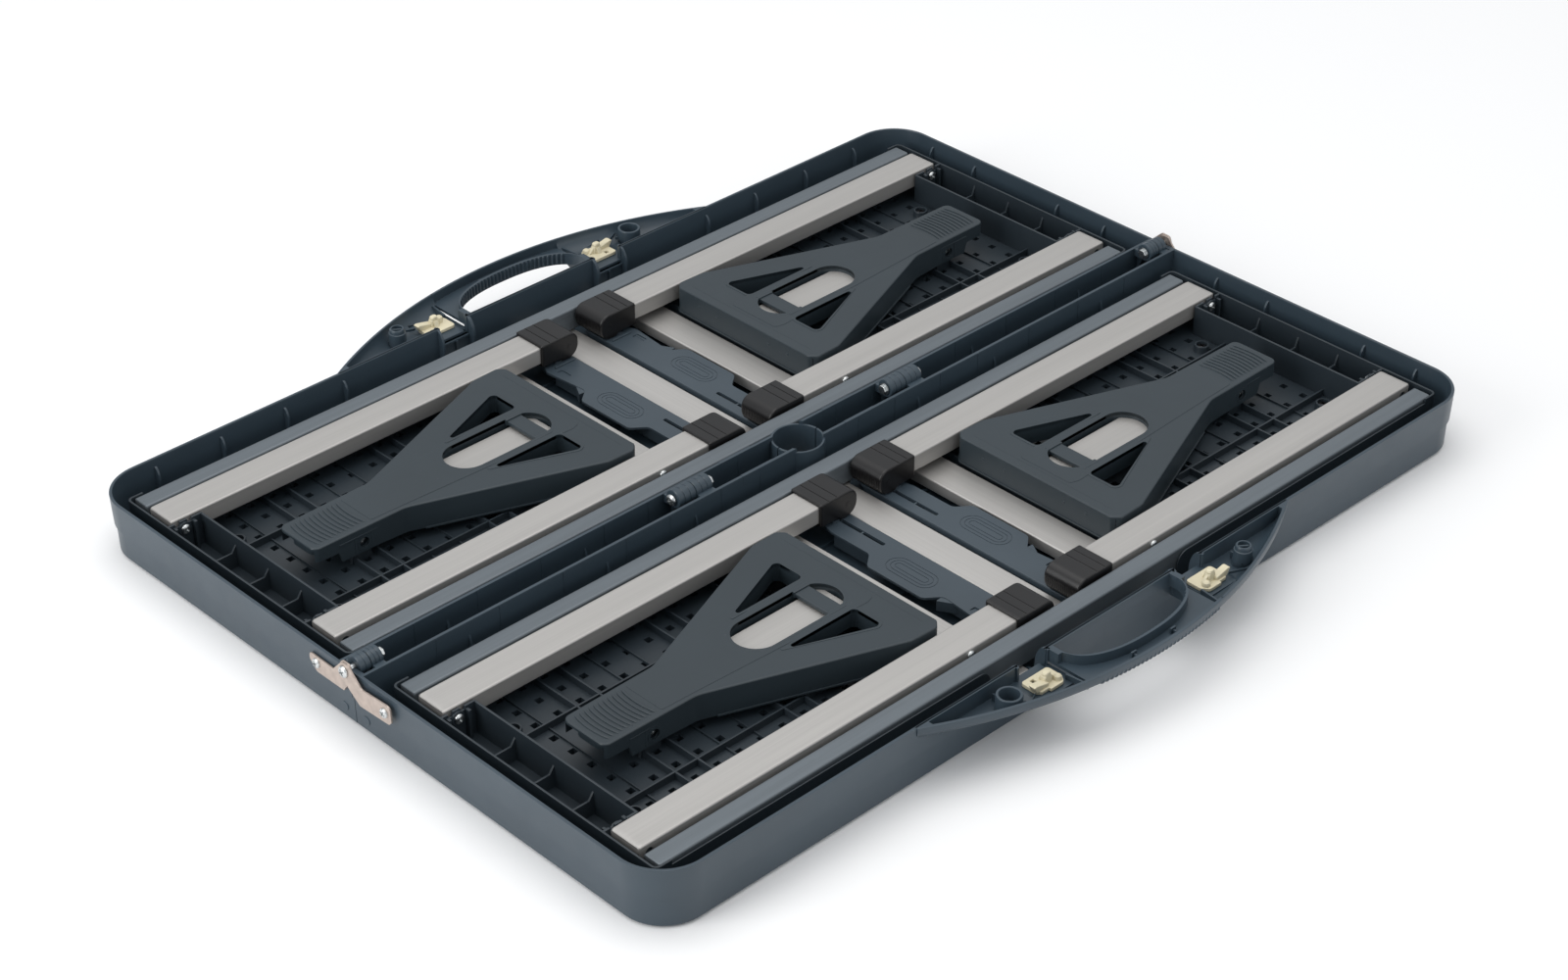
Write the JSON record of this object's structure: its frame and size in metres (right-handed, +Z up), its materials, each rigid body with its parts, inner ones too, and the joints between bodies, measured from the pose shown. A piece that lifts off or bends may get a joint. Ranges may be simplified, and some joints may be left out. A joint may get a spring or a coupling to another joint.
{
  "type": "folding table",
  "caption": "Suitcase-style folding picnic table with built-in benches, opened flat with its underside up and the seats, legs and braces folded in.",
  "frame": {"origin": "middle of the footprint, on the floor under the table top", "axes": "+X along the seam hinge, +Y towards half A, +Z up; the table top faces down"},
  "size_m": [0.8676, 0.736, 0.0579],
  "materials": {
    "shell_plastic": "moulded satin",
    "rail_paint": "satin paint",
    "brushed_tube": "brushed",
    "seat_plastic": "moulded matte",
    "foot_plastic": "moulded satin",
    "strut_plastic": "moulded satin",
    "brace_plastic": "moulded matte",
    "latch_plastic": "moulded gloss",
    "hinge_plate": "plated",
    "fastener": "zinc plated"
  },
  "bodies": {
    "half_b": {"shell_b": "shell_plastic", "hinge_plate_bl": "hinge_plate", "hinge_plate_br": "hinge_plate", "seam_bolt_1": "fastener", "seam_bolt_2": "fastener", "seam_bolt_3": "fastener", "seam_bolt_4": "fastener"},
    "half_a": {"shell_a": "shell_plastic", "hinge_plate_al": "hinge_plate", "hinge_plate_ar": "hinge_plate"},
    "links_a": {"link_side_al": "brushed_tube", "link_side_ar": "brushed_tube"},
    "mid_link_a": {"link_mid_a": "brushed_tube"},
    "bench_a": {"rail_outer_a": "rail_paint", "rail_inner_a": "rail_paint", "seat_al": "seat_plastic", "seat_ar": "seat_plastic"},
    "leg_al": {"tube_inner_al": "brushed_tube", "tube_outer_al": "brushed_tube", "foot_inner_al": "foot_plastic", "foot_outer_al": "foot_plastic", "strut_al": "strut_plastic"},
    "bar_al": {"slide_bar_al": "brushed_tube"},
    "brace_al": {"brace_al": "brace_plastic"},
    "latch_al": {"latch_al": "latch_plastic"},
    "leg_ar": {"tube_inner_ar": "brushed_tube", "tube_outer_ar": "brushed_tube", "foot_inner_ar": "foot_plastic", "foot_outer_ar": "foot_plastic", "strut_ar": "strut_plastic"},
    "bar_ar": {"slide_bar_ar": "brushed_tube"},
    "brace_ar": {"brace_ar": "brace_plastic"},
    "latch_ar": {"latch_ar": "latch_plastic"},
    "links_b": {"link_side_bl": "brushed_tube", "link_side_br": "brushed_tube"},
    "mid_link_b": {"link_mid_b": "brushed_tube"},
    "bench_b": {"rail_outer_b": "rail_paint", "rail_inner_b": "rail_paint", "seat_bl": "seat_plastic", "seat_br": "seat_plastic"},
    "leg_bl": {"tube_inner_bl": "brushed_tube", "tube_outer_bl": "brushed_tube", "foot_inner_bl": "foot_plastic", "foot_outer_bl": "foot_plastic", "strut_bl": "strut_plastic"},
    "bar_bl": {"slide_bar_bl": "brushed_tube"},
    "brace_bl": {"brace_bl": "brace_plastic"},
    "latch_bl": {"latch_bl": "latch_plastic"},
    "leg_br": {"tube_inner_br": "brushed_tube", "tube_outer_br": "brushed_tube", "foot_inner_br": "foot_plastic", "foot_outer_br": "foot_plastic", "strut_br": "strut_plastic"},
    "bar_br": {"slide_bar_br": "brushed_tube"},
    "brace_br": {"brace_br": "brace_plastic"},
    "latch_br": {"latch_br": "latch_plastic"}
  },
  "joints": [
    {"name": "seam_fold", "type": "hinge", "parent": "half_b", "child": "half_a", "pos_m": [0, 0, 0.0504], "axis": [-1, 0, 0], "range_deg": [-180, 0]},
    {"name": "bench_lift_a", "type": "hinge", "parent": "half_a", "child": "links_a", "pos_m": [0, 0.295, 0.014], "axis": [-1, 0, 0], "range_deg": [0, 104]},
    {"name": "mid_link_turn_a", "type": "hinge", "parent": "half_a", "child": "mid_link_a", "pos_m": [0, 0.295, 0.014], "axis": [-1, 0, 0], "range_deg": [0, 104]},
    {"name": "bench_level_a", "type": "hinge", "parent": "links_a", "child": "bench_a", "pos_m": [0, 0.034, 0.014], "axis": [-1, 0, 0], "range_deg": [-104, 0]},
    {"name": "leg_fold_al", "type": "hinge", "parent": "bench_a", "child": "leg_al", "pos_m": [-0.396, 0.159, 0.0345], "axis": [0, -1, 0], "range_deg": [0, 90]},
    {"name": "bar_turn_al", "type": "hinge", "parent": "bench_a", "child": "bar_al", "pos_m": [-0.31, 0.159, 0.033], "axis": [0, -1, 0], "range_deg": [0, 105.7]},
    {"name": "brace_slide_al", "type": "slide", "parent": "bar_al", "child": "brace_al", "axis": [1, 0, 0], "range_m": [0, 0.1]},
    {"name": "latch_slide_al", "type": "slide", "parent": "half_a", "child": "latch_al", "axis": [0, 1, 0], "range_m": [0, 0.006]},
    {"name": "leg_fold_ar", "type": "hinge", "parent": "bench_a", "child": "leg_ar", "pos_m": [0.396, 0.159, 0.0345], "axis": [0, 1, 0], "range_deg": [0, 90]},
    {"name": "bar_turn_ar", "type": "hinge", "parent": "bench_a", "child": "bar_ar", "pos_m": [0.31, 0.159, 0.033], "axis": [0, 1, 0], "range_deg": [0, 105.7]},
    {"name": "brace_slide_ar", "type": "slide", "parent": "bar_ar", "child": "brace_ar", "axis": [-1, 0, 0], "range_m": [0, 0.1]},
    {"name": "latch_slide_ar", "type": "slide", "parent": "half_a", "child": "latch_ar", "axis": [0, 1, 0], "range_m": [0, 0.006]},
    {"name": "bench_lift_b", "type": "hinge", "parent": "half_b", "child": "links_b", "pos_m": [0, -0.295, 0.014], "axis": [1, 0, 0], "range_deg": [0, 104]},
    {"name": "mid_link_turn_b", "type": "hinge", "parent": "half_b", "child": "mid_link_b", "pos_m": [0, -0.295, 0.014], "axis": [1, 0, 0], "range_deg": [0, 104]},
    {"name": "bench_level_b", "type": "hinge", "parent": "links_b", "child": "bench_b", "pos_m": [0, -0.034, 0.014], "axis": [1, 0, 0], "range_deg": [-104, 0]},
    {"name": "leg_fold_bl", "type": "hinge", "parent": "bench_b", "child": "leg_bl", "pos_m": [-0.396, -0.159, 0.0345], "axis": [0, -1, 0], "range_deg": [0, 90]},
    {"name": "bar_turn_bl", "type": "hinge", "parent": "bench_b", "child": "bar_bl", "pos_m": [-0.31, -0.159, 0.033], "axis": [0, -1, 0], "range_deg": [0, 105.7]},
    {"name": "brace_slide_bl", "type": "slide", "parent": "bar_bl", "child": "brace_bl", "axis": [1, 0, 0], "range_m": [0, 0.1]},
    {"name": "latch_slide_bl", "type": "slide", "parent": "half_b", "child": "latch_bl", "axis": [0, -1, 0], "range_m": [0, 0.006]},
    {"name": "leg_fold_br", "type": "hinge", "parent": "bench_b", "child": "leg_br", "pos_m": [0.396, -0.159, 0.0345], "axis": [0, 1, 0], "range_deg": [0, 90]},
    {"name": "bar_turn_br", "type": "hinge", "parent": "bench_b", "child": "bar_br", "pos_m": [0.31, -0.159, 0.033], "axis": [0, 1, 0], "range_deg": [0, 105.7]},
    {"name": "brace_slide_br", "type": "slide", "parent": "bar_br", "child": "brace_br", "axis": [-1, 0, 0], "range_m": [0, 0.1]},
    {"name": "latch_slide_br", "type": "slide", "parent": "half_b", "child": "latch_br", "axis": [0, -1, 0], "range_m": [0, 0.006]}
  ],
  "couplings": [
    {"joint": "mid_link_turn_a", "follows": "bench_lift_a", "ratio": 1},
    {"joint": "bench_level_a", "follows": "bench_lift_a", "ratio": -1},
    {"joint": "bar_turn_al", "follows": "leg_fold_al", "ratio": 1.1731},
    {"joint": "brace_slide_al", "follows": "leg_fold_al", "m_per_rad": 0.0636},
    {"joint": "bar_turn_ar", "follows": "leg_fold_ar", "ratio": 1.1731},
    {"joint": "brace_slide_ar", "follows": "leg_fold_ar", "m_per_rad": 0.0636},
    {"joint": "mid_link_turn_b", "follows": "bench_lift_b", "ratio": 1},
    {"joint": "bench_level_b", "follows": "bench_lift_b", "ratio": -1},
    {"joint": "bar_turn_bl", "follows": "leg_fold_bl", "ratio": 1.1731},
    {"joint": "brace_slide_bl", "follows": "leg_fold_bl", "m_per_rad": 0.0636},
    {"joint": "bar_turn_br", "follows": "leg_fold_br", "ratio": 1.1731},
    {"joint": "brace_slide_br", "follows": "leg_fold_br", "m_per_rad": 0.0636}
  ]
}
